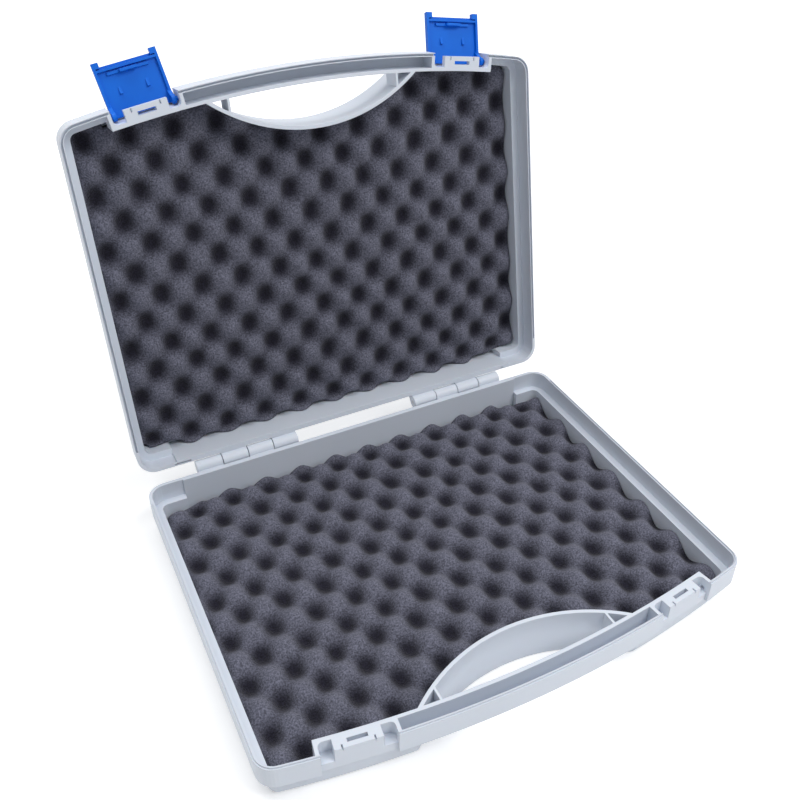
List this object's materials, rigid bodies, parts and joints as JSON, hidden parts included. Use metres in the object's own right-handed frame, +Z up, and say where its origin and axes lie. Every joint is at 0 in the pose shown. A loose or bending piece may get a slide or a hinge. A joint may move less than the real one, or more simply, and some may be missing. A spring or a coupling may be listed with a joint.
{
  "type": "instrument carry case",
  "caption": "Open plastic carry case with two foam-lined half shells, a built-in split handle, a pinned back hinge and flip-over front latches.",
  "frame": {"origin": "centre of the base shell's flat underside", "axes": "+Z up, -Y towards the handle, +X along the hinge to the right seen from the handle"},
  "size_m": [0.34, 0.3554, 0.32],
  "materials": {
    "shell_polypropylene": "satin injection moulded",
    "latch_polypropylene": "semi-gloss injection moulded",
    "convoluted_foam": "open-cell polyurethane foam",
    "hinge_steel": "drawn wire"
  },
  "bodies": {
    "base": {"base_shell": "shell_polypropylene", "base_foam": "convoluted_foam", "hinge_pin_left": "hinge_steel", "hinge_pin_right": "hinge_steel"},
    "lid": {"lid_shell": "shell_polypropylene", "lid_foam": "convoluted_foam"},
    "left_latch": {"latch_left": "latch_polypropylene"},
    "right_latch": {"latch_right": "latch_polypropylene"}
  },
  "joints": [
    {"name": "lid_hinge", "type": "hinge", "parent": "base", "child": "lid", "pos_m": [0, 0.1395, 0.035], "axis": [1, 0, 0], "range_deg": [0, 100.7]},
    {"name": "latch_left_hinge", "type": "hinge", "parent": "lid", "child": "left_latch", "pos_m": [-0.11374, 0.19542, 0.28787], "axis": [0.9898, 0.0265, 0.1401], "range_deg": [0, 103]},
    {"name": "latch_right_hinge", "type": "hinge", "parent": "lid", "child": "right_latch", "pos_m": [0.11374, 0.19542, 0.28787], "axis": [0.9898, -0.0265, -0.1401], "range_deg": [0, 103]}
  ]
}
